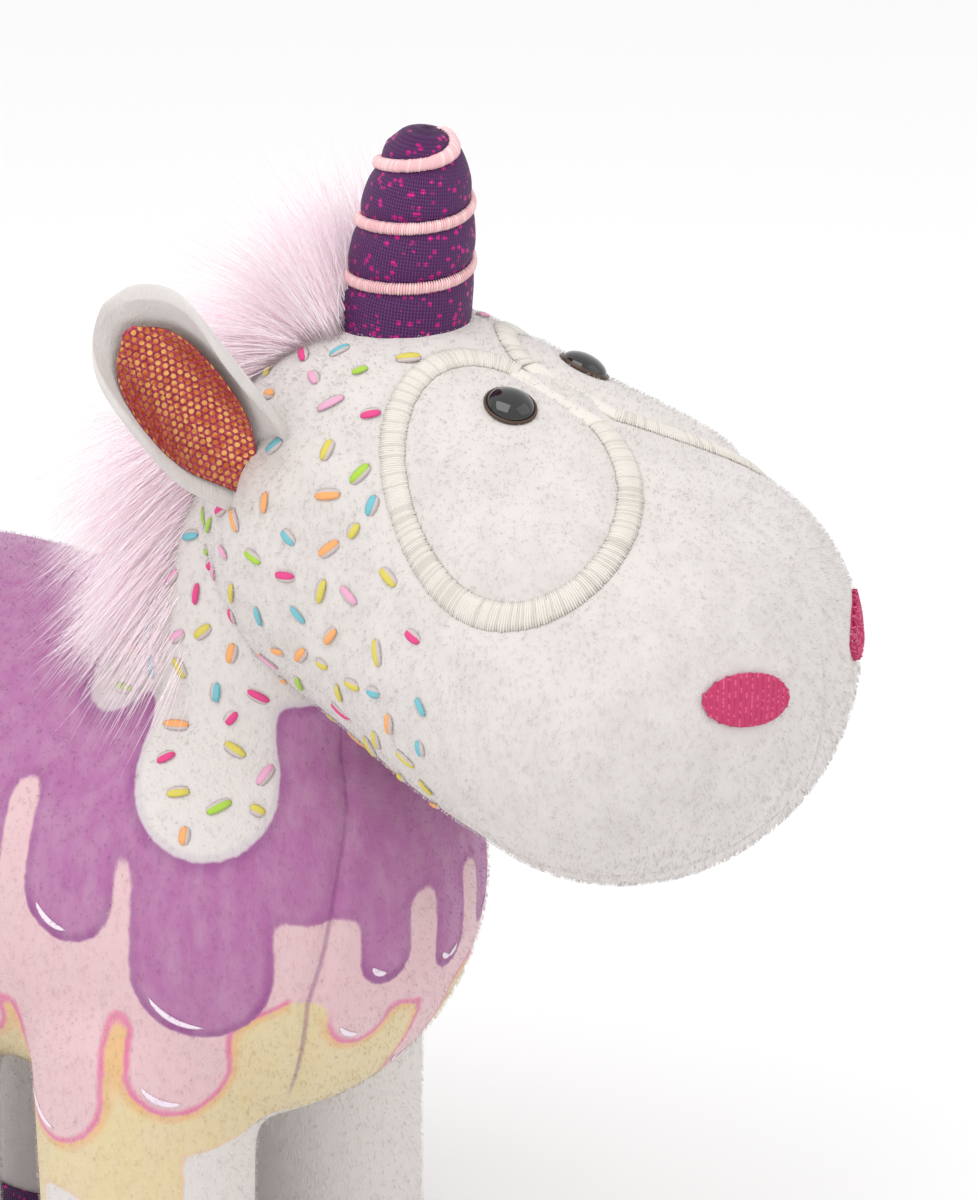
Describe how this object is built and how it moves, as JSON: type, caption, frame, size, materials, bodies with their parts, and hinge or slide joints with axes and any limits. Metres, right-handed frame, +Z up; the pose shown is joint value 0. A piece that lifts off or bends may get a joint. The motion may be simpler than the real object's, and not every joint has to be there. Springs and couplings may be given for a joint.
{
  "type": "plush unicorn",
  "caption": "Standing stuffed plush unicorn with a large head, stitched eye patch, knitted horn, lined ears, furry mane and tail, printed body and padded legs.",
  "frame": {"origin": "middle of the toy's bounding box, on the plane it stands on", "axes": "+Z up, -Y is where the toy faces, +X is the toy's left"},
  "size_m": [0.1, 0.2576, 0.234],
  "materials": {
    "printed_plush": "short-pile plush printed with purple, pink and cream icing drips",
    "belly_plush": "short-pile plush, cream fading to white",
    "white_plush": "white short-pile plush",
    "polyester_fibre": "loose polyester fibre stuffing",
    "pink_fur": "long-pile pale pink fur fabric",
    "cream_thread": "satin-stitched embroidery thread",
    "hot_pink_thread": "satin-stitched embroidery thread",
    "pale_pink_thread": "satin-stitched embroidery thread",
    "glitter_knit": "purple knit with metallic glitter dots",
    "spangled_net": "pink net covered with copper spangle dots",
    "eye_gloss": "polished black plastic",
    "washer_plastic": "moulded natural plastic"
  },
  "bodies": {
    "torso": {"torso_side_left": "printed_plush", "torso_side_right": "printed_plush", "chest_panel": "printed_plush", "belly_panel": "belly_plush", "torso_stuffing": "polyester_fibre"},
    "neck": {"neck_panel_left": "white_plush", "neck_panel_right": "white_plush", "neck_stuffing": "polyester_fibre", "mane": "pink_fur"},
    "head": {"head_side_left": "white_plush", "head_side_right": "white_plush", "head_top_panel": "white_plush", "chin_panel": "white_plush", "head_stuffing": "polyester_fibre", "eye_patch": "white_plush", "eye_patch_border": "cream_thread", "eye_left": "eye_gloss", "eye_right": "eye_gloss", "eye_washer_left": "washer_plastic", "eye_washer_right": "washer_plastic", "nostril_left": "hot_pink_thread", "nostril_right": "hot_pink_thread", "forelock": "pink_fur"},
    "horn": {"horn_cover": "glitter_knit", "horn_stuffing": "polyester_fibre", "horn_spiral_stitch": "pale_pink_thread"},
    "left_ear": {"ear_left": "white_plush", "ear_lining_left": "spangled_net"},
    "right_ear": {"ear_right": "white_plush", "ear_lining_right": "spangled_net"},
    "tail_root": {"tail_tab": "pink_fur"},
    "tail": {"tail_fur": "pink_fur"},
    "front_left_leg": {"leg_front_left": "white_plush", "leg_stuffing_front_left": "polyester_fibre", "hoof_front_left": "glitter_knit", "sole_front_left": "glitter_knit"},
    "front_right_leg": {"leg_front_right": "white_plush", "leg_stuffing_front_right": "polyester_fibre", "hoof_front_right": "glitter_knit", "sole_front_right": "glitter_knit"},
    "rear_left_leg": {"leg_rear_left": "white_plush", "leg_stuffing_rear_left": "polyester_fibre", "hoof_rear_left": "glitter_knit", "sole_rear_left": "glitter_knit"},
    "rear_right_leg": {"leg_rear_right": "white_plush", "leg_stuffing_rear_right": "polyester_fibre", "hoof_rear_right": "glitter_knit", "sole_rear_right": "glitter_knit"}
  },
  "joints": [
    {"name": "neck_nod", "type": "hinge", "parent": "torso", "child": "neck", "pos_m": [0, -0.01285, 0.122], "axis": [1, 0, 0], "range_deg": [-5, 12], "stiffness_Nm_per_rad": 0.6},
    {"name": "head_turn", "type": "hinge", "parent": "neck", "child": "head", "pos_m": [0, -0.04785, 0.166], "axis": [0, 0, 1], "range_deg": [-15, 15], "stiffness_Nm_per_rad": 0.3},
    {"name": "horn_flex", "type": "hinge", "parent": "head", "child": "horn", "pos_m": [0, -0.04566, 0.19813], "axis": [1, 0, 0], "range_deg": [-10, 10], "stiffness_Nm_per_rad": 0.05},
    {"name": "left_ear_fold", "type": "hinge", "parent": "head", "child": "left_ear", "pos_m": [0.02877, -0.03151, 0.17914], "axis": [-0.4161, 0.8713, -0.2601], "range_deg": [-8, 25], "stiffness_Nm_per_rad": 0.02},
    {"name": "right_ear_fold", "type": "hinge", "parent": "head", "child": "right_ear", "pos_m": [-0.02877, -0.03151, 0.17914], "axis": [-0.4161, -0.8713, 0.2601], "range_deg": [-8, 25], "stiffness_Nm_per_rad": 0.02},
    {"name": "tail_swing", "type": "hinge", "parent": "torso", "child": "tail_root", "pos_m": [0, 0.08114, 0.11693], "axis": [0, 0, 1], "range_deg": [-30, 30], "stiffness_Nm_per_rad": 0.02},
    {"name": "tail_lift", "type": "hinge", "parent": "tail_root", "child": "tail", "pos_m": [0, 0.09358, 0.12532], "axis": [1, 0, 0], "range_deg": [0, 50], "stiffness_Nm_per_rad": 0.02},
    {"name": "front_left_leg_swing", "type": "hinge", "parent": "torso", "child": "front_left_leg", "pos_m": [0.029, -0.00885, 0.07], "axis": [1, 0, 0], "range_deg": [-12, 6], "stiffness_Nm_per_rad": 0.5},
    {"name": "front_right_leg_swing", "type": "hinge", "parent": "torso", "child": "front_right_leg", "pos_m": [-0.029, -0.00885, 0.07], "axis": [1, 0, 0], "range_deg": [-12, 6], "stiffness_Nm_per_rad": 0.5},
    {"name": "rear_left_leg_swing", "type": "hinge", "parent": "torso", "child": "rear_left_leg", "pos_m": [0.029, 0.04715, 0.07], "axis": [1, 0, 0], "range_deg": [-6, 12], "stiffness_Nm_per_rad": 0.5},
    {"name": "rear_right_leg_swing", "type": "hinge", "parent": "torso", "child": "rear_right_leg", "pos_m": [-0.029, 0.04715, 0.07], "axis": [1, 0, 0], "range_deg": [-6, 12], "stiffness_Nm_per_rad": 0.5}
  ]
}
